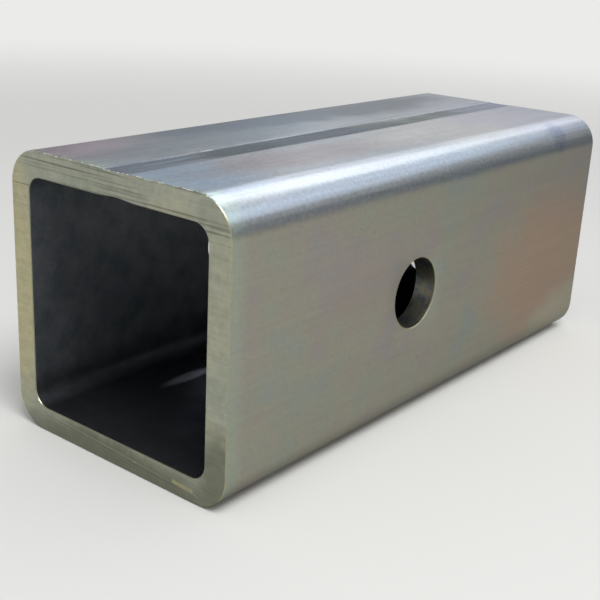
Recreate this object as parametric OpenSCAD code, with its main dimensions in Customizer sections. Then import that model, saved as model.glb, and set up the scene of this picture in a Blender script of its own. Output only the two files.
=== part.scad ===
// Receiver tube: one length of welded square steel tube, sawn square at both ends, with a
// hole drilled through both side walls for the pin that locks a towing shank in the socket.
// The origin is the middle of the pin hole, on the centre line of the tube. X runs along
// the pin, +Y runs along the tube from its front mouth to its back end, and +Z points up
// through the wall that holds the weld seam.

/* [Tube] */
// Width and height across the outside flats
tube_w = 63.5; // [58:0.5:80]
// Length from the front mouth to the back end
tube_len = 152.4; // [120:0.1:300]
// Thickness of the wall
wall = 5.6; // [4.5:0.1:7]
// Radius of the rolled corners, outside
corner_r = 8; // [6:0.1:11]
// Radius of the rolled corners, inside
socket_corner_r = 3.8; // [2:0.1:5]
// Width of the bevel that takes the burr off the sawn ends
end_bevel = 0.3; // [0.1:0.05:1]

/* [Pin hole] */
// Diameter of the locking pin
pin_d = 15.9; // [12:0.1:20]
// Clearance across the pin in its hole
pin_clearance = 0.8; // [0.2:0.1:2]
// Distance from the front mouth to the middle of the pin hole
pin_setback = 63.5; // [30:0.5:90]
// Width of the bevel round each outer rim of the pin hole
rim_bevel = 0.3; // [0.1:0.05:1]

/* [Weld seam] */
// Distance of the seam to the right of the middle of the top wall
seam_shift = 1; // [-3:0.1:3]
// Width of the flat band planed along the outside of the seam
planed_w = 7; // [4:0.1:10]
// Depth of the planed band
planed_depth = 0.1; // [0.05:0.05:0.3]
// Width of the hollow along the inside of the seam, where the weld bead was shaved away
shaved_w = 13; // [8:0.5:16]
// Depth of the shaved hollow
shaved_depth = 0.4; // [0.15:0.05:0.6]

/* [Hidden] */
$fn = 96;
// Width of the socket inside the walls
socket_w = tube_w - 2 * wall;
// Diameter of the pin hole
pin_hole_d = pin_d + pin_clearance;
// Radius of the curved blade that shaves a hollow of this width and depth
blade_r = (pow(shaved_w / 2, 2) + pow(shaved_depth, 2)) / (2 * shaved_depth);
// Distance that a cut runs past the faces it goes through
overrun = 1;

// Right-hand outline of a bar that stands on its end, from its foot to its top. Its end
// edges are bevelled inwards with a lean of 1 and flared outwards with a lean of -1, and
// the slope of the bevel is carried past the ends.
function bar_outline(reach, lean, past) = [
    [reach - lean * (end_bevel + past), -past],
    [reach, end_bevel],
    [reach, tube_len - end_bevel],
    [reach - lean * (end_bevel + past), tube_len + past],
];

// Square bar with rounded corners, standing on its end
module rounded_bar(width, corner, lean, past) {
    middle = width / 2 - corner;
    right = bar_outline(width / 2, lean, past);
    left = [for (i = [3:-1:0]) [-right[i].x, right[i].y]];
    // Two crossed slabs carry the flats
    for (turn = [0, 90])
        rotate([90, 0, turn])
            linear_extrude(2 * middle, center = true)
                polygon(concat(right, left));
    // A round column stands in each corner
    round = concat([[0, -past]], bar_outline(corner, lean, past), [[0, tube_len + past]]);
    for (x = [-middle, middle], y = [-middle, middle])
        translate([x, y, 0])
            rotate_extrude()
                polygon(round);
}

// Flat band that the planing tool leaves along the outside of the weld
module planed_band() {
    translate([seam_shift - planed_w / 2, tube_w / 2 - planed_depth, -overrun])
        cube([planed_w, planed_depth + overrun, tube_len + 2 * overrun]);
}

// Shallow hollow that the curved blade leaves along the inside of the weld
module shaved_hollow() {
    translate([seam_shift, socket_w / 2 + shaved_depth - blade_r, -overrun])
        linear_extrude(tube_len + 2 * overrun)
            intersection() {
                circle(blade_r, $fn = 360);
                translate([-shaved_w, blade_r - 2 * shaved_depth])
                    square([2 * shaved_w, 3 * shaved_depth]);
            }
}

// Cut length of tube, standing on its back end with the seam towards +Y
module cut_length() {
    difference() {
        rounded_bar(tube_w, corner_r, 1, 0);
        rounded_bar(socket_w, socket_corner_r, -1, overrun);
        planed_band();
        shaved_hollow();
    }
}

// Pin hole through both side walls, with a bevel at each outer rim
module pin_hole() {
    rotate([0, 90, 0])
        cylinder(h = tube_w + 2 * overrun, d = pin_hole_d, center = true);
    for (side = [0, 1])
        mirror([side, 0, 0])
            translate([tube_w / 2 - rim_bevel, 0, 0])
                rotate([0, 90, 0])
                    cylinder(
                        h = rim_bevel + overrun,
                        d1 = pin_hole_d,
                        d2 = pin_hole_d + 2 * (rim_bevel + overrun)
                    );
}

// The tube laid on its flat bottom, with the seam on top and the front mouth towards -Y
module receiver_tube() {
    color([0.56, 0.57, 0.54])
        difference() {
            translate([0, tube_len - pin_setback, 0])
                rotate([90, 0, 0])
                    cut_length();
            pin_hole();
        }
}

receiver_tube();
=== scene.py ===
# Receiver tube: one sawn length of welded square steel tube, drilled across for a locking
# pin and zinc plated, lying on its flat bottom with the weld seam on top.
# Lengths are in millimetres until a finished mesh is scaled to metres.
import math
import random

import bmesh
import bpy
from mathutils import Matrix, Quaternion, Vector, noise


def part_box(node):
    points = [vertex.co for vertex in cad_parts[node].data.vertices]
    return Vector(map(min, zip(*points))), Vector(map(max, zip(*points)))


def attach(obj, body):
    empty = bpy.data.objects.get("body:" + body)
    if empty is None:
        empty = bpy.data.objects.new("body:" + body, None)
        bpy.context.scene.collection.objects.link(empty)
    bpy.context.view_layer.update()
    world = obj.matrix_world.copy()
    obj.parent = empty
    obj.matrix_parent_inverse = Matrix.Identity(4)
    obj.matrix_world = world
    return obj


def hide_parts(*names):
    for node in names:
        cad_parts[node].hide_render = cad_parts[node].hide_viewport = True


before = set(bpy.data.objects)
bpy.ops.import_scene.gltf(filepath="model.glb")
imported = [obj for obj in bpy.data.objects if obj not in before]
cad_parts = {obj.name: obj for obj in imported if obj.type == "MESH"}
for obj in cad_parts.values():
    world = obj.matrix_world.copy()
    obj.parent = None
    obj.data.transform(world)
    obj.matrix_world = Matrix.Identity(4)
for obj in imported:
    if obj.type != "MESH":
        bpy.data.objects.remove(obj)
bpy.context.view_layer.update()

MM = 0.001
LOW, HIGH = (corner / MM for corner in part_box("receiver_tube"))
FRONT, BACK = LOW.y, HIGH.y
LENGTH = BACK - FRONT
WIDTH = HIGH.x - LOW.x
OUTSIDE = WIDTH / 2

WALL = 5.6
CORNER_R = 8.0
SOCKET_R = 3.8
INSIDE = OUTSIDE - WALL

# Mesh steps: rows along the tube, columns across each flat, steps round each corner
ROWS = 114
COLUMNS = 48
CORNER_STEPS = 12
HOLE_ROWS = 18

# Weld seam: planed flat outside, shaved hollow inside
SEAM_X = 1.0
PLANED_W = 7.0
PLANED_DEPTH = 0.1
LIP = 0.3
SHAVED_W = 13.0
SHAVED_DEPTH = 0.4

END_BEVEL = 0.3
HOLE_R = 8.35
RIM_BEVEL = 0.3
SAW_SLOPE = math.radians(3)

# Distance within which a mesh point counts as lying on a plane
NEAR = 0.01
# Edges bent by less than this are shaded smooth
SMOOTH_BELOW = math.radians(20)

# Finishes, in the order of the piece's material slots
SKIN, PLANED, SAWN, BORE, SOCKET, EDGE = range(6)


# Geometry


def along_tube(edge):
    """Whether an edge runs along the tube."""
    step = edge.verts[0].co - edge.verts[1].co
    return abs(step.y) > abs(step.x) + abs(step.z)


def wander(place, size, seed):
    """Smooth random number from -1 to 1 that changes over the given size."""
    return noise.noise(place / size + Vector((17.3, 5.1, 9.7)) * seed)


def square_pipe(half, corner_r):
    """Open square pipe with rounded corners, its flats cut into narrow strips."""
    bm = bmesh.new()
    bmesh.ops.create_cube(bm, size=1)
    bmesh.ops.scale(bm, vec=(2 * half, LENGTH, 2 * half), verts=bm.verts)
    bmesh.ops.translate(bm, vec=(0, (FRONT + BACK) / 2, 0), verts=bm.verts)
    ends = [face for face in bm.faces if abs(face.normal.y) > 0.5]
    bmesh.ops.delete(bm, geom=ends, context="FACES_ONLY")
    bmesh.ops.bevel(
        bm,
        geom=[edge for edge in bm.edges if along_tube(edge)],
        offset=corner_r,
        offset_type="OFFSET",
        affect="EDGES",
        segments=CORNER_STEPS,
        profile=0.5,
        material=-1,
    )
    across = [e for e in bm.edges if not along_tube(e) and e.calc_length() > half]
    bmesh.ops.subdivide_edges(bm, edges=across, cuts=COLUMNS - 1, use_grid_fill=True)
    return bm


def joined(*parts):
    """The parts in one bmesh."""
    bm = bmesh.new()
    for part in parts:
        mesh = bpy.data.meshes.new("part")
        part.to_mesh(mesh)
        part.free()
        bm.from_mesh(mesh)
        bpy.data.meshes.remove(mesh)
    return bm


def with_edges(faces):
    """The faces with their edges and corners, as the cutting operators want them."""
    geom = set(faces)
    for face in faces:
        geom.update(face.edges)
        geom.update(face.verts)
    return list(geom)


def close_end(bm, y):
    """Joins the outer and the inner pipe by a flat ring at one end."""
    rim = [
        edge
        for edge in bm.edges
        if edge.is_boundary and all(abs(v.co.y - y) < NEAR for v in edge.verts)
    ]
    bmesh.ops.bridge_loops(bm, edges=rim)


def cut_seam(bm):
    """Planes the flat band along the outside of the weld and shaves the hollow inside."""
    upper = [face for face in bm.faces if face.calc_center_median().z > INSIDE - 0.5]
    geom = with_edges(upper)
    for reach in (PLANED_W / 2, PLANED_W / 2 - LIP, SHAVED_W / 2):
        for side in (-1, 1):
            cut = bmesh.ops.bisect_plane(
                bm, geom=geom, plane_co=(SEAM_X + side * reach, 0, 0), plane_no=(1, 0, 0)
            )
            geom = cut["geom"]
    for v in bm.verts:
        off = abs(v.co.x - SEAM_X)
        if -NEAR < v.co.z - INSIDE < END_BEVEL + NEAR and off < SHAVED_W / 2:
            v.co.z += SHAVED_DEPTH * math.cos(math.pi * off / SHAVED_W) ** 2
        if OUTSIDE - v.co.z < END_BEVEL + NEAR and off < PLANED_W / 2 - LIP + NEAR:
            v.co.z -= PLANED_DEPTH


def roughen_seam(bm):
    """Makes the planed band waver and ripple as the trimming tool leaves it."""
    for v in bm.verts:
        off = v.co.x - SEAM_X
        if v.co.z > OUTSIDE - END_BEVEL - 0.2 and abs(off) < PLANED_W / 2 + NEAR:
            along = Vector((0, v.co.y, 0))
            if abs(off) > PLANED_W / 2 - LIP - NEAR:
                v.co.x += 0.2 * wander(along, 9, 2 if off > 0 else 3)
            else:
                v.co.z += 0.015 * wander(Vector((off, v.co.y, 0)), 4, 1)


def bevel_ends(bm):
    """Takes the sharpness off the sawn ends, outside and inside."""
    corners = [
        edge
        for edge in bm.edges
        if len(edge.link_faces) == 2
        and sum(abs(face.normal.y) > 0.9 for face in edge.link_faces) == 1
        and all(min(v.co.y - FRONT, BACK - v.co.y) < NEAR for v in edge.verts)
    ]
    bmesh.ops.bevel(
        bm,
        geom=corners,
        offset=END_BEVEL,
        offset_type="OFFSET",
        affect="EDGES",
        segments=2,
        profile=0.5,
        material=-1,
    )


def saw_end(bm, y, seed):
    """Grooves that the saw blade leaves across a sawn end, at random distances and depths."""
    depths = (0.015, 0.02, 0.03, 0.05)
    draw = random.Random(seed)
    inwards = 1 if y < 0 else -1
    ring = [
        face
        for face in bm.faces
        if abs(face.normal.y) > 0.99 and abs(face.calc_center_median().y - y) < 0.05
    ]
    geom = with_edges(ring)
    slope = Vector((math.sin(SAW_SLOPE), 0, math.cos(SAW_SLOPE)))
    reach = -OUTSIDE - 1
    while reach < OUTSIDE + 2:
        reach += draw.uniform(0.35, 1.15)
        half = draw.uniform(0.08, 0.16)
        depth = draw.choice(depths)
        for step in (-half, 0, half):
            cut = bmesh.ops.bisect_plane(
                bm, geom=geom, plane_co=slope * (reach + step), plane_no=slope
            )
            geom = cut["geom"]
            if step == 0:
                for v in cut["geom_cut"]:
                    if isinstance(v, bmesh.types.BMVert):
                        v.co.y += inwards * depth
        reach += half


def raise_burr(bm):
    """Ragged burr that the saw leaves along the outer top edge of the front mouth."""
    rows = [
        edge
        for edge in bm.edges
        if abs(edge.verts[0].co.x - edge.verts[1].co.x) > 0.4
        and all(v.co.y < FRONT + END_BEVEL + NEAR for v in edge.verts)
        and all(v.co.z > OUTSIDE - END_BEVEL - PLANED_DEPTH - 0.02 for v in edge.verts)
    ]
    bmesh.ops.subdivide_edges(bm, edges=rows, cuts=4, use_grid_fill=True)
    for v in bm.verts:
        if v.co.y < FRONT + END_BEVEL + NEAR and v.co.z > OUTSIDE - 0.2:
            coarse = wander(v.co, 2.3, 4)
            fine = wander(v.co, 0.7, 5)
            v.co.z += 0.06 + 0.12 * fine + 0.08 * coarse
            v.co.y += 0.16 * coarse + 0.12 * wander(v.co, 0.9, 6)


def open_patch(bm, side, half, reach_z):
    """Clears the flat mesh round the pin hole and returns the edges left open."""
    reach_y = HOLE_ROWS / 2 * LENGTH / ROWS
    patch = set()
    for face in bm.faces:
        c = face.calc_center_median()
        near = abs(c.y) < reach_y and abs(c.z) < reach_z
        if near and abs(c.x - side * half) < NEAR:
            patch.add(face)
    edges = {edge for face in patch for edge in face.edges}
    rim = [e for e in edges if sum(face in patch for face in e.link_faces) == 1]
    bmesh.ops.delete(bm, geom=list(patch), context="FACES")
    return rim


def drill(bm, side):
    """Pin hole through one side wall, with a bevelled outer rim."""
    outer = open_patch(bm, side, OUTSIDE, (OUTSIDE - CORNER_R) / 2)
    inner = open_patch(bm, side, INSIDE, (INSIDE - SOCKET_R) / 2)
    radius = HOLE_R + RIM_BEVEL
    turn = Matrix.Rotation(math.radians(90), 4, "Y")
    place = Matrix.Translation((side * OUTSIDE, 0, 0))
    circle = bmesh.ops.create_circle(
        bm, radius=radius, segments=len(outer), matrix=place @ turn
    )["verts"]
    ring = list({edge for v in circle for edge in v.link_edges})
    bmesh.ops.bridge_loops(bm, edges=outer + ring)
    depth = 0
    # Radius and depth of each ring of the bore, from its outer rim to its inner one
    bevel_depth = 0.32
    ring_gap = 0.85
    steps = [(HOLE_R + 0.14, 0.05), (HOLE_R + 0.04, 0.16), (HOLE_R, bevel_depth)]
    steps += [(HOLE_R, bevel_depth + ring_gap * n) for n in range(1, 6)]
    steps += [(HOLE_R + 0.01, WALL - 0.12), (HOLE_R + 0.1, WALL)]
    for new_radius, new_depth in steps:
        grown = bmesh.ops.extrude_edge_only(bm, edges=ring)["geom"]
        verts = {g for g in grown if isinstance(g, bmesh.types.BMVert)}
        ring = [
            g
            for g in grown
            if isinstance(g, bmesh.types.BMEdge) and verts.issuperset(g.verts)
        ]
        verts = list(verts)
        share = new_radius / radius
        bmesh.ops.scale(bm, vec=(1, share, share), verts=verts)
        bmesh.ops.translate(bm, vec=(side * (depth - new_depth), 0, 0), verts=verts)
        radius, depth = new_radius, new_depth
    bmesh.ops.bridge_loops(bm, edges=inner + ring)


def finish_of(face):
    """Which finish a face has, by where it lies."""
    c = face.calc_center_median()
    n = face.normal
    from_end = min(c.y - FRONT, BACK - c.y)
    if from_end < 0.1 and abs(n.y) > 0.75:
        return SAWN
    if from_end < END_BEVEL:
        return EDGE
    from_hole = math.hypot(c.y, c.z)
    if abs(c.x) > INSIDE and from_hole < HOLE_R + RIM_BEVEL - 0.02:
        return EDGE if from_hole > HOLE_R + NEAR and abs(c.x) > OUTSIDE - 0.4 else BORE
    if max(abs(c.x), abs(c.z)) < INSIDE + SHAVED_DEPTH + 0.2:
        return SOCKET
    if c.z > OUTSIDE - 0.2 and abs(c.x - SEAM_X) < PLANED_W / 2 - 0.05:
        return PLANED
    return SKIN


def plated_tube(materials):
    """The tube: both pipes, joined at the sawn ends and round the pin hole."""
    bm = joined(square_pipe(OUTSIDE, CORNER_R), square_pipe(INSIDE, SOCKET_R))
    for y in (FRONT, BACK):
        close_end(bm, y)
    bmesh.ops.recalc_face_normals(bm, faces=bm.faces)
    bevel_ends(bm)
    cut_seam(bm)
    bm.normal_update()
    saw_end(bm, FRONT, 3)
    saw_end(bm, BACK, 8)
    long_edges = [edge for edge in bm.edges if edge.calc_length() > LENGTH / 2]
    bmesh.ops.subdivide_edges(bm, edges=long_edges, cuts=ROWS - 1, use_grid_fill=True)
    roughen_seam(bm)
    raise_burr(bm)
    for side in (-1, 1):
        drill(bm, side)
    bmesh.ops.recalc_face_normals(bm, faces=bm.faces)
    bm.normal_update()
    for face in bm.faces:
        face.material_index = finish_of(face)
        face.smooth = True
    for edge in bm.edges:
        edge.smooth = edge.calc_face_angle(0) < SMOOTH_BELOW
    bmesh.ops.scale(bm, vec=(MM, MM, MM), verts=bm.verts)
    mesh = bpy.data.meshes.new("plated_tube")
    bm.to_mesh(mesh)
    bm.free()
    for material in materials:
        mesh.materials.append(material)
    piece = bpy.data.objects.new("plated_tube", mesh)
    bpy.context.scene.collection.objects.link(piece)
    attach(piece, "root")
    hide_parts("receiver_tube")
    return piece


# Materials

# Clouds of film on the rolled skin, the low one at the back partly painted light: middle, reach,
# colour and strength
WALL_FILM_AND_PAINTED_LIGHT = (
    ((32, 66, -6), (16, 44, 27), "#A8917F", 0.75),
    # Pale straw cloud low at the back: partly straw film, partly painted reflection of a bright
    # floor
    ((32, 84, -26), (12, 30, 14), "#ABA997", 0.6),
    ((32, -24, 6), (10, 18, 13), "#9A8F89", 0.4),
)
# Pink and slate left of the seam, blue, lilac and straw right of it, a smudge on the corner
TOP_FILM = (
    ((-19, -53, 32), (15, 20, 9), "#95868F", 0.75),
    ((-20, 2, 32), (11, 56, 9), "#5C656F", 0.9),
    ((-19, 48, 32), (13, 46, 9), "#5D6165", 0.8),
    ((-10, -26, 32), (10, 50, 9), "#70797F", 0.7),
    ((12, -58, 32), (20, 24, 9), "#808E9D", 0.75),
    ((14, -20, 32), (9, 44, 9), "#827B7A", 0.7),
    ((14, 38, 32), (16, 50, 9), "#A3A09B", 0.7),
    ((10, 74, 32), (30, 40, 9), "#96949B", 0.7),
    ((29, 68, 28.5), (5, 5, 6), "#757B86", 0.6),
)
SEAM_FILM = (
    ((1, -58, 32), (9, 26, 9), "#80868F", 0.8),
    ((1, -28, 32), (9, 16, 9), "#6A6F73", 0.8),
    ((1, 84, 32), (9, 34, 9), "#888A92", 0.8),
)
SAWN_FILM_AND_SHADE = (
    ((-30, FRONT, 2), (7, 12, 36), "#B8B18C", 0.8),
    ((30, FRONT, 14), (7, 12, 20), "#A3A491", 0.7),
    # Painted shade: the dark clouds over the bottom bar and its lower right corner
    ((0, FRONT, -32), (46, 12, 9), "#6F7263", 0.95),
    ((31, FRONT, -24), (9, 12, 14), "#727565", 0.9),
)


def to_linear(code, alpha=1.0):
    """Linear colour of an sRGB hex code."""
    parts = [int(code[i : i + 2], 16) / 255 for i in (1, 3, 5)]
    lin = [p / 12.92 if p <= 0.04045 else ((p + 0.055) / 1.055) ** 2.4 for p in parts]
    return (*lin, alpha)


def node(tree, kind, inputs=None, out=0, stops=None, **settings):
    """Adds a shader node with its settings and inputs, and returns one of its outputs."""
    made = tree.nodes.new("ShaderNode" + kind)
    for name, value in settings.items():
        setattr(made, name, value)
    for name, value in (inputs or {}).items():
        if isinstance(value, bpy.types.NodeSocket):
            tree.links.new(value, made.inputs[name])
        else:
            made.inputs[name].default_value = value
    if stops:
        ramp = made.color_ramp
        while len(ramp.elements) < len(stops):
            ramp.elements.new(0.5)
        for element, (position, code) in zip(ramp.elements, stops):
            element.position = position
            element.color = to_linear(code)
    return made.outputs[out] if made.outputs else made


def per_mm(size):
    """Noise scale that gives features of this size in millimetres."""
    return 1 / (size * MM)


def new_material(name):
    """Empty node material."""
    material = bpy.data.materials.new(name)
    material.use_nodes = True
    material.node_tree.nodes.clear()
    return material, material.node_tree


def colour_cloud(tree, place, colour, centre, reach, code, share):
    """Lays one soft cloud of another colour over a finish, its place and reach in millimetres."""
    at = node(
        tree,
        "Mapping",
        {
            "Vector": place,
            "Location": Vector(centre) * MM,
            "Scale": Vector(reach) * MM,
        },
        vector_type="TEXTURE",
    )
    mask = node(tree, "TexGradient", {"Vector": at}, out="Fac", gradient_type="SPHERICAL")
    mask = node(
        tree,
        "MapRange",
        {"Value": mask, "From Max": 0.6, "To Max": share},
        interpolation_type="SMOOTHSTEP",
    )
    return node(
        tree, "Mix", {0: mask, 6: colour, 7: to_linear(code)}, out=2, data_type="RGBA"
    )


def over_band(tree, colour, value, low, high, share, code):
    """Lays a colour over another where a length goes softly from low to high, and returns
    the mask too. The lengths are in millimetres."""
    mask = node(
        tree,
        "MapRange",
        {"Value": value, "From Min": low * MM, "From Max": high * MM, "To Max": share},
        interpolation_type="SMOOTHSTEP",
    )
    top = to_linear(code) if isinstance(code, str) else code
    mixed = node(tree, "Mix", {0: mask, 6: colour, 7: top}, out=2, data_type="RGBA")
    return mixed, mask


def uneven(tree, colour, *parts):
    """Makes a colour lighter and darker by patterns, each with the strength it has."""
    light = 1.0
    for pattern, strength in parts:
        step = {0: pattern, 1: strength, 2: -strength / 2}
        part = node(tree, "Math", step, operation="MULTIPLY_ADD")
        light = node(tree, "Math", {0: part, 1: light}, operation="ADD")
    return node(tree, "VectorMath", {0: colour, "Scale": light}, operation="SCALE")


def streaks(tree, place, size, lean=0.0):
    """Streaks whose sizes along X, Y and Z are in millimetres, leaning round Y by an angle."""
    scale = [per_mm(length) for length in size]
    at = node(
        tree, "Mapping", {"Vector": place, "Rotation": (0, lean, 0), "Scale": scale}
    )
    return node(tree, "TexNoise", {"Vector": at, "Scale": 1.0, "Detail": 2.0})


def cloudy(place, size, detail=2.0, rough=0.5):
    """Inputs of a cloudy noise with patches of a size in millimetres."""
    return {"Vector": place, "Scale": per_mm(size), "Detail": detail, "Roughness": rough}


def ragged(tree, place, size, reach):
    """The place pushed about by a cloudy pattern, so that patches get ragged edges."""
    push = node(
        tree,
        "TexNoise",
        {"Vector": place, "Scale": per_mm(size), "Detail": 3.0},
        out="Color",
    )
    push = node(tree, "VectorMath", {0: push, 1: (0.5, 0.5, 0.5)}, operation="SUBTRACT")
    return node(
        tree,
        "VectorMath",
        {0: push, 1: (reach * MM,) * 3, 2: place},
        operation="MULTIPLY_ADD",
    )


def passivated_zinc():
    """Bright zinc under a clear chromate film, on mill-rolled tube. The film is thinner than
    a wavelength here and thicker there, so the satin metal drifts between straw, pink,
    lilac and blue, over the fine grain and lengthwise streaks of the rolled steel. The cool
    grey over the top and corners is partly painted reflection of a cool sky, and the pale
    cloud low at the back of the wall is partly painted light."""
    material, tree = new_material("passivated_zinc_on_rolled_steel")
    place = node(tree, "TexCoord", out="Object")
    loose = ragged(tree, place, 9, 9)
    slow = node(tree, "TexNoise", cloudy(place, 30, 3.0))
    mid = node(tree, "TexNoise", cloudy(place, 7, 3.0, 0.6))
    # Grain of the rolled surface, 0.3 mm in the real one, drawn at 0.8 mm so that it shows
    grain = node(tree, "TexNoise", cloudy(place, 0.8, 2.0, 0.6))
    streak = streaks(tree, place, (0.9, 45, 0.9))
    height = node(tree, "SeparateXYZ", {"Vector": place}, out="Z")
    along = node(tree, "SeparateXYZ", {"Vector": place}, out="Y")
    film = node(tree, "Math", {0: mid, 1: 0.45}, operation="MULTIPLY")
    film = node(tree, "Math", {0: slow, 1: 0.55, 2: film}, operation="MULTIPLY_ADD")
    colour = node(
        tree,
        "ValToRGB",
        {"Fac": film},
        stops=[
            (0.34, "#8F958F"),
            (0.43, "#94968B"),
            (0.5, "#979588"),
            (0.57, "#97928B"),
            (0.66, "#929291"),
        ],
    )
    # Bluish grey over the rolled corners and cooler grey over the top: partly the passivate's own
    # blue, partly painted reflection of a cool sky
    colour, corner = over_band(tree, colour, height, 24, 26.5, 0.8, "#8C9093")
    colour, _ = over_band(tree, colour, height, 30.6, 31.7, 1.0, "#888A8C")
    # Film clouds on the wall, the low one at the back partly painted light
    for patch in WALL_FILM_AND_PAINTED_LIGHT:
        colour = colour_cloud(tree, loose, colour, *patch)
    # Pale strip along the sawn edge of the front mouth
    colour, _ = over_band(tree, colour, along, FRONT + 6, FRONT + 1, 0.55, "#9BA797")
    for patch in TOP_FILM:
        colour = colour_cloud(tree, loose, colour, *patch)
    # The walls came smoother off the mill than the top and its corners
    rolled = node(tree, "MapRange", {"Value": corner, "To Min": 0.3})
    flecked = node(tree, "Math", {0: grain, 1: 0.5}, operation="SUBTRACT")
    flecked = node(tree, "Math", {0: flecked, 1: rolled}, operation="MULTIPLY")
    lined = node(tree, "Math", {0: streak, 1: 0.5}, operation="SUBTRACT")
    lined = node(tree, "Math", {0: lined, 1: rolled}, operation="MULTIPLY")
    light = node(tree, "Math", {0: flecked, 1: 0.7, 2: 1.0}, operation="MULTIPLY_ADD")
    light = node(tree, "Math", {0: lined, 1: 0.45, 2: light}, operation="MULTIPLY_ADD")
    colour = node(tree, "VectorMath", {0: colour, "Scale": light}, operation="SCALE")
    rough = node(tree, "MapRange", {"Value": grain, "To Min": 0.24, "To Max": 0.38})
    bump = node(
        tree, "Bump", {"Height": flecked, "Distance": 0.04 * MM, "Strength": 0.7}
    )
    bump = node(
        tree,
        "Bump",
        {"Height": lined, "Distance": 0.02 * MM, "Strength": 0.5, "Normal": bump},
    )
    shader = node(
        tree,
        "BsdfPrincipled",
        {
            "Base Color": colour,
            "Metallic": 1.0,
            "Roughness": rough,
            "Specular Tint": to_linear("#B4B4B4"),
            "Normal": bump,
        },
    )
    node(tree, "OutputMaterial", {"Surface": shader})
    return material


def planed_weld():
    """Weld bead planed flush by the tube mill and zinc plated. The blade chattered and
    scored it, so the band is duller and darker than the rolled skin on either side."""
    material, tree = new_material("planed_weld_bead")
    place = node(tree, "TexCoord", out="Object")
    slow = node(tree, "TexNoise", cloudy(place, 22, 2.0))
    grain = node(tree, "TexNoise", cloudy(place, 0.7, 2.0, 0.6))
    score = streaks(tree, place, (0.45, 30, 0.45))
    colour = node(
        tree,
        "ValToRGB",
        {"Fac": slow},
        stops=[(0.38, "#74777A"), (0.5, "#7A7C78"), (0.6, "#828482")],
    )
    for patch in SEAM_FILM:
        colour = colour_cloud(tree, place, colour, *patch)
    colour = uneven(tree, colour, (grain, 0.6), (score, 0.9))
    rough = node(tree, "MapRange", {"Value": score, "To Min": 0.3, "To Max": 0.5})
    bump = node(
        tree, "Bump", {"Height": score, "Distance": 0.03 * MM, "Strength": 0.8}
    )
    shader = node(
        tree,
        "BsdfPrincipled",
        {
            "Base Color": colour,
            "Metallic": 1.0,
            "Roughness": rough,
            "Specular Tint": to_linear("#8C8C8C"),
            "Normal": bump,
        },
    )
    node(tree, "OutputMaterial", {"Surface": shader})
    return material


def sawn_steel():
    """Band-sawn steel under the same zinc and film. The saw left fine lines across the cut
    and the film came out olive on the open grain."""
    material, tree = new_material("sawn_steel_zinc_plated")
    place = node(tree, "TexCoord", out="Object")
    loose = ragged(tree, place, 5, 5)
    slow = node(tree, "TexNoise", cloudy(place, 12, 3.0))
    mottle = node(tree, "TexNoise", cloudy(place, 1.6, 3.0, 0.6))
    saw = streaks(tree, place, (26, 26, 0.5), SAW_SLOPE)
    height = node(tree, "SeparateXYZ", {"Vector": place}, out="Z")
    line = node(
        tree, "MapRange", {"Value": saw, "From Min": 0.42, "From Max": 0.3, "To Max": 0.6}
    )
    upper = node(
        tree,
        "MapRange",
        {"Value": height, "From Min": 16 * MM, "From Max": 27 * MM},
        interpolation_type="SMOOTHSTEP",
    )
    line = node(tree, "Math", {0: line, 1: upper}, operation="MULTIPLY")
    colour = node(
        tree,
        "ValToRGB",
        {"Fac": slow},
        stops=[(0.38, "#9A9E8F"), (0.5, "#A2A495"), (0.6, "#A6A693")],
    )
    # Film clouds, with painted shade low on the end
    for patch in SAWN_FILM_AND_SHADE:
        colour = colour_cloud(tree, loose, colour, *patch)
    dark_lines = {0: line, 6: colour, 7: to_linear("#565A48")}
    colour = node(tree, "Mix", dark_lines, out=2, data_type="RGBA")
    colour = uneven(tree, colour, (mottle, 0.5), (saw, 0.25))
    rough = node(tree, "MapRange", {"Value": mottle, "To Min": 0.36, "To Max": 0.52})
    bump = node(tree, "Bump", {"Height": saw, "Distance": 0.04 * MM, "Strength": 0.7})
    bump = node(
        tree,
        "Bump",
        {"Height": mottle, "Distance": 0.03 * MM, "Strength": 0.5, "Normal": bump},
    )
    shader = node(
        tree,
        "BsdfPrincipled",
        {"Base Color": colour, "Metallic": 1.0, "Roughness": rough, "Normal": bump},
    )
    node(tree, "OutputMaterial", {"Surface": shader})
    return material


def drilled_steel():
    """Drilled steel under thin zinc: dull grey, with rings left by the drill's lips."""
    material, tree = new_material("drilled_steel_zinc_plated")
    place = node(tree, "TexCoord", out="Object")
    # Feed marks of the drill, 0.2 mm apart, drawn at 0.4 mm so that they show
    rings = streaks(tree, place, (0.4, 9, 9))
    mottle = node(tree, "TexNoise", cloudy(place, 2.2, 3.0, 0.6))
    colour = node(
        tree,
        "ValToRGB",
        {"Fac": mottle},
        stops=[(0.38, "#676C70"), (0.5, "#7A7B70"), (0.6, "#807A6C")],
    )
    colour = uneven(tree, colour, (rings, 0.9))
    rough = node(tree, "MapRange", {"Value": rings, "To Min": 0.36, "To Max": 0.5})
    bump = node(
        tree, "Bump", {"Height": rings, "Distance": 0.04 * MM, "Strength": 0.7}
    )
    shader = node(
        tree,
        "BsdfPrincipled",
        {
            "Base Color": colour,
            "Metallic": 1.0,
            "Roughness": rough,
            "Specular Tint": to_linear("#909090"),
            "Normal": bump,
        },
    )
    node(tree, "OutputMaterial", {"Surface": shader})
    return material


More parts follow.
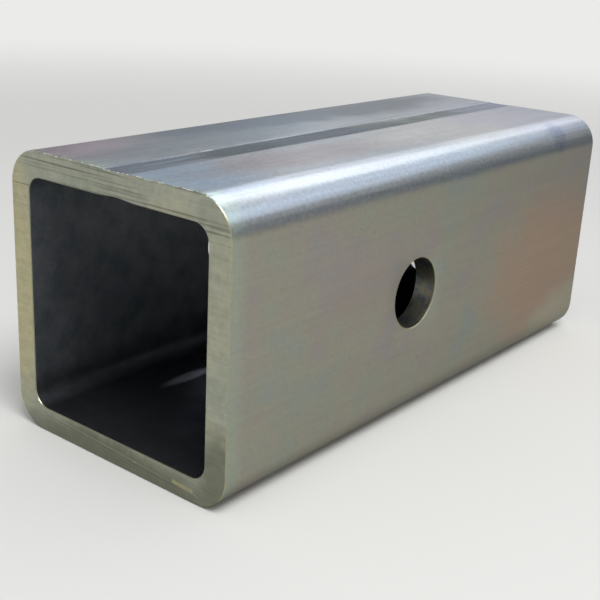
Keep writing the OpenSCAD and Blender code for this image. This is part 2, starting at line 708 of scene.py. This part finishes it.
def socket_scale_and_shade():
    """Mill scale inside the tube under a thin blue grey zinc film. It goes darker towards the
    bottom and nearly black further back from the front mouth: painted shade of the deep recess."""
    material, tree = new_material("mill_scale_thin_zinc_painted_shade")
    place = node(tree, "TexCoord", out="Object")
    loose = ragged(tree, place, 8, 8)
    scale = node(tree, "TexNoise", cloudy(place, 5, 4.0, 0.6))
    grain = node(tree, "TexNoise", cloudy(place, 0.8, 2.0, 0.6))
    along = node(tree, "SeparateXYZ", {"Vector": loose}, out="Y")
    height = node(tree, "SeparateXYZ", {"Vector": loose}, out="Z")
    colour = node(
        tree,
        "ValToRGB",
        {"Fac": scale},
        stops=[(0.38, "#8C9498"), (0.5, "#93979E"), (0.6, "#999AA1")],
    )
    # Painted shade: darker towards the bottom of the socket, nearly black further back from the
    # front mouth
    colour, _ = over_band(tree, colour, height, -14, -26, 0.8, "#3C3F43")
    colour, _ = over_band(tree, colour, along, -8, 36, 0.97, "#101214")
    # Painted pool of light: a bright streak on the floor of the socket
    colour = colour_cloud(tree, place, colour, (-13, -28, -26), (2.4, 11, 3), "#D5DAE2", 0.8)
    colour = uneven(tree, colour, (grain, 0.3), (scale, 0.5))
    rough = node(tree, "MapRange", {"Value": grain, "To Min": 0.42, "To Max": 0.56})
    bump = node(
        tree, "Bump", {"Height": grain, "Distance": 0.03 * MM, "Strength": 0.6}
    )
    shader = node(
        tree,
        "BsdfPrincipled",
        {
            "Base Color": colour,
            "Metallic": 1.0,
            "Roughness": rough,
            "Specular Tint": to_linear("#202020"),
            "Normal": bump,
        },
    )
    node(tree, "OutputMaterial", {"Surface": shader})
    return material


def worn_edge_and_glint():
    """Plated edge rubbed bright in handling: pale, with near-white flecks along the top edges,
    painted glints of the burr.
    """
    material, tree = new_material("worn_plated_edge_and_glint")
    place = node(tree, "TexCoord", out="Object")
    fleck = node(tree, "TexNoise", cloudy(place, 0.9, 3.0, 0.65))
    slow = node(tree, "TexNoise", cloudy(place, 9, 2.0))
    height = node(tree, "SeparateXYZ", {"Vector": place}, out="Z")
    colour = node(
        tree,
        "ValToRGB",
        {"Fac": slow},
        stops=[(0.4, "#A3A07C"), (0.6, "#9A9B85")],
    )
    bright = node(
        tree,
        "ValToRGB",
        {"Fac": fleck},
        stops=[(0.4, "#8F9388"), (0.52, "#C4C7C2"), (0.62, "#F2F3F0")],
    )
    # Painted glints: near-white flecks over the top edges
    colour, _ = over_band(tree, colour, height, 29, 31.4, 1.0, bright)
    colour = uneven(tree, colour, (fleck, 0.5))
    rough = node(tree, "MapRange", {"Value": fleck, "To Min": 0.42, "To Max": 0.28})
    shader = node(
        tree,
        "BsdfPrincipled",
        {
            "Base Color": colour,
            "Metallic": 1.0,
            "Roughness": rough,
            "Specular Tint": to_linear("#A0A0A0"),
        },
    )
    node(tree, "OutputMaterial", {"Surface": shader})
    return material


# Stage

PALE = "#EBEBE9"


def pale_world():
    """Pale surroundings, as bright to the eye and to the metal, softer on the floor."""
    world = bpy.data.worlds.new("pale_surroundings")
    bpy.context.scene.world = world
    world.use_nodes = True
    tree = world.node_tree
    tree.nodes.clear()
    camera_ray = node(tree, "LightPath", out="Is Camera Ray")
    glossy_ray = node(tree, "LightPath", out="Is Glossy Ray")
    clear_ray = node(tree, "LightPath", out="Is Transmission Ray")
    seen = node(tree, "Math", {0: camera_ray, 1: glossy_ray}, operation="MAXIMUM")
    seen = node(tree, "Math", {0: seen, 1: clear_ray}, operation="MAXIMUM")
    pale = node(tree, "Background", {"Color": to_linear(PALE), "Strength": 1.0})
    lit = node(tree, "Background", {"Color": to_linear("#FFFFFF"), "Strength": 0.5})
    mix = node(tree, "MixShader", {0: seen, 1: lit, 2: pale})
    node(tree, "OutputWorld", {"Surface": mix})


def pale_floor():
    """Pale matt floor that fades into the surroundings away from the tube."""
    bm = bmesh.new()
    bmesh.ops.create_circle(bm, cap_ends=True, radius=8, segments=64)
    bmesh.ops.translate(bm, vec=(0, 0, LOW.z * MM), verts=bm.verts)
    mesh = bpy.data.meshes.new("floor")
    bm.to_mesh(mesh)
    bm.free()
    floor = bpy.data.objects.new("floor", mesh)
    bpy.context.scene.collection.objects.link(floor)
    material, tree = new_material("pale_matt_floor")
    place = node(tree, "TexCoord", out="Object")
    away = node(tree, "VectorMath", {0: place}, out="Value", operation="LENGTH")
    fade = node(
        tree,
        "MapRange",
        {"Value": away, "From Min": 0.25, "From Max": 0.9},
        interpolation_type="SMOOTHSTEP",
    )
    matt = node(tree, "BsdfDiffuse", {"Color": to_linear("#E4E4E2")})
    far = node(tree, "Emission", {"Color": to_linear(PALE), "Strength": 1.0})
    mix = node(tree, "MixShader", {0: fade, 1: matt, 2: far})
    node(tree, "OutputMaterial", {"Surface": mix})
    mesh.materials.append(material)


def out_from_tube(azimuth, elevation):
    """Direction seen from the tube: azimuth 0 is +Y and 90 is +X, elevation is above the floor."""
    a, e = math.radians(azimuth), math.radians(elevation)
    return Vector((math.sin(a) * math.cos(e), math.cos(a) * math.cos(e), math.sin(e)))


def soft_box(name, azimuth, elevation, distance, size, power, colour="#FFFFFF", lights_floor=False):
    """Square soft box that faces the tube and is out of the camera's sight."""
    light = bpy.data.lights.new(name, "AREA")
    light.shape = "RECTANGLE"
    light.size, light.size_y = size
    light.energy = power
    light.color = to_linear(colour)[:3]
    lamp = bpy.data.objects.new(name, light)
    out = out_from_tube(azimuth, elevation)
    lamp.location = out * distance
    lamp.rotation_mode = "QUATERNION"
    lamp.rotation_quaternion = out.to_track_quat("Z", "Y")
    lamp.visible_camera = False
    lamp.visible_diffuse = lights_floor
    bpy.context.scene.collection.objects.link(lamp)


def grey_card():
    """Grey card behind the tube that gives its rolled corner a darker lower edge."""
    bm = bmesh.new()
    bmesh.ops.create_grid(bm, x_segments=1, y_segments=1, size=0.5)
    bmesh.ops.scale(bm, vec=(0.9, 0.22, 1), verts=bm.verts)
    azimuth = 35
    stand = Matrix.Rotation(math.radians(90), 4, "X")
    turn = Matrix.Rotation(math.radians(-azimuth), 4, "Z")
    bmesh.ops.transform(bm, matrix=turn @ stand, verts=bm.verts)
    place = out_from_tube(azimuth, 0) * 0.8 + Vector((0, 0, 0.078))
    bmesh.ops.translate(bm, vec=place, verts=bm.verts)
    mesh = bpy.data.meshes.new("grey_card")
    bm.to_mesh(mesh)
    bm.free()
    card = bpy.data.objects.new("grey_card", mesh)
    bpy.context.scene.collection.objects.link(card)
    material, tree = new_material("grey_card")
    matt = node(tree, "Emission", {"Color": to_linear("#9EA6B2"), "Strength": 1.0})
    node(tree, "OutputMaterial", {"Surface": matt})
    mesh.materials.append(material)
    card.visible_camera = False
    card.visible_diffuse = False
    card.visible_shadow = False


def camera():
    """The photograph's viewpoint."""
    eye = Vector((150.72, -194.81, 75.65)) * MM
    aim = Vector((-4.85, 3.61, -11.98)) * MM
    roll = Quaternion((0, 0, 1), math.radians(3.008))
    data = bpy.data.cameras.new("camera")
    data.lens = 62.32
    data.sensor_width = 36
    data.clip_start = 0.01
    made = bpy.data.objects.new("camera", data)
    made.location = eye
    made.rotation_mode = "QUATERNION"
    made.rotation_quaternion = (aim - eye).to_track_quat("-Z", "Y") @ roll
    bpy.context.scene.collection.objects.link(made)
    bpy.context.scene.camera = made


plated_tube(
    [
        passivated_zinc(),
        planed_weld(),
        sawn_steel(),
        drilled_steel(),
        socket_scale_and_shade(),
        worn_edge_and_glint(),
    ]
)
pale_world()
pale_floor()
grey_card()
soft_box("back_soft_box", -21, 32, 0.9, (0.58, 0.46), 2.85, "#EEF4FF")
soft_box("high_back_soft_box", -12, 45, 0.9, (0.46, 0.2), 1.1, "#EEF4FF")
soft_box("left_soft_box", -46, 28, 0.9, (0.3, 0.5), 0.5, "#EEF4FF")
soft_box("right_soft_box", 27, 35, 0.9, (0.72, 0.3), 1.45, "#CDE0FF")
soft_box("floor_key", 115, 60, 1.0, (0.5, 0.5), 6.8, lights_floor=True)
camera()
bpy.context.scene.view_settings.view_transform = "Standard"
